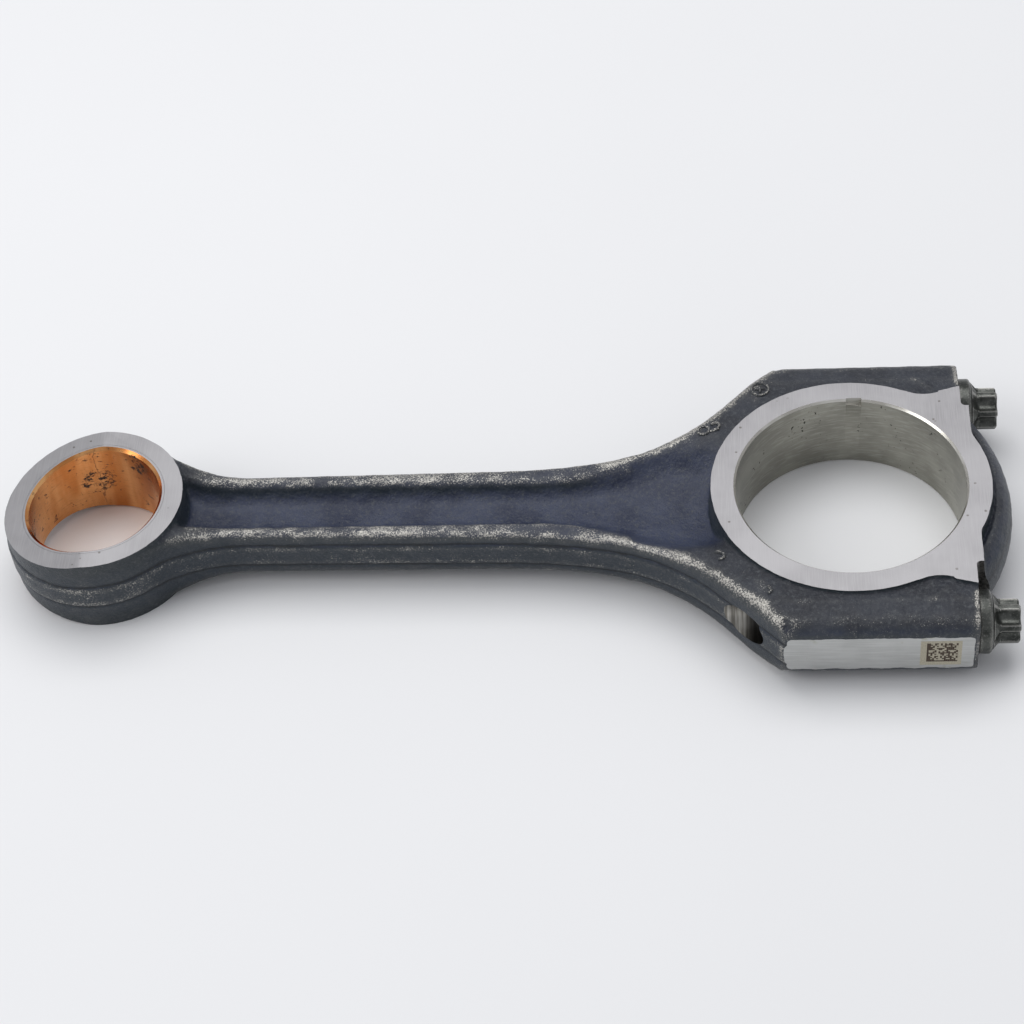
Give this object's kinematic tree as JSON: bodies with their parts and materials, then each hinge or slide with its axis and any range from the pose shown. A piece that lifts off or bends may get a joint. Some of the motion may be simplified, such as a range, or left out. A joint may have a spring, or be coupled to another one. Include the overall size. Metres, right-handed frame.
{
  "type": "connecting rod",
  "caption": "Fracture-split engine connecting rod with an I-section shank, bronze small-end bush and a bearing cap held by flanged bolts.",
  "frame": {"origin": "centre of the big-end bore at mid-thickness", "axes": "+X along the rod from the small end towards the bearing cap, +Z along both bore axes with the rod lying flat"},
  "size_m": [0.2233, 0.0786, 0.02],
  "materials": {
    "forged_steel": "dark scaled forging with machined faces",
    "bush_bronze": "polished",
    "bolt_steel": "phosphated"
  },
  "bodies": {
    "rod": {"rod_body": "forged_steel", "small_end_bush": "bush_bronze"},
    "cap": {"big_end_cap": "forged_steel"},
    "bolt_front": {"cap_bolt_front": "bolt_steel"},
    "bolt_rear": {"cap_bolt_rear": "bolt_steel"}
  },
  "joints": [
    {"name": "cap_slide", "type": "slide", "parent": "rod", "child": "cap", "axis": [1, 0, 0], "range_m": [0, 0.0155]},
    {"name": "bolt_front_turn", "type": "hinge", "parent": "cap", "child": "bolt_front", "pos_m": [0.0253, -0.031, 0], "axis": [1, 0, 0], "range_deg": [0, 5580]},
    {"name": "bolt_rear_turn", "type": "hinge", "parent": "cap", "child": "bolt_rear", "pos_m": [0.0253, 0.031, 0], "axis": [1, 0, 0], "range_deg": [0, 5580]}
  ],
  "couplings": [
    {"joint": "bolt_front_turn", "follows": "cap_slide", "rad_per_m": 6283},
    {"joint": "bolt_rear_turn", "follows": "cap_slide", "rad_per_m": 6283}
  ]
}
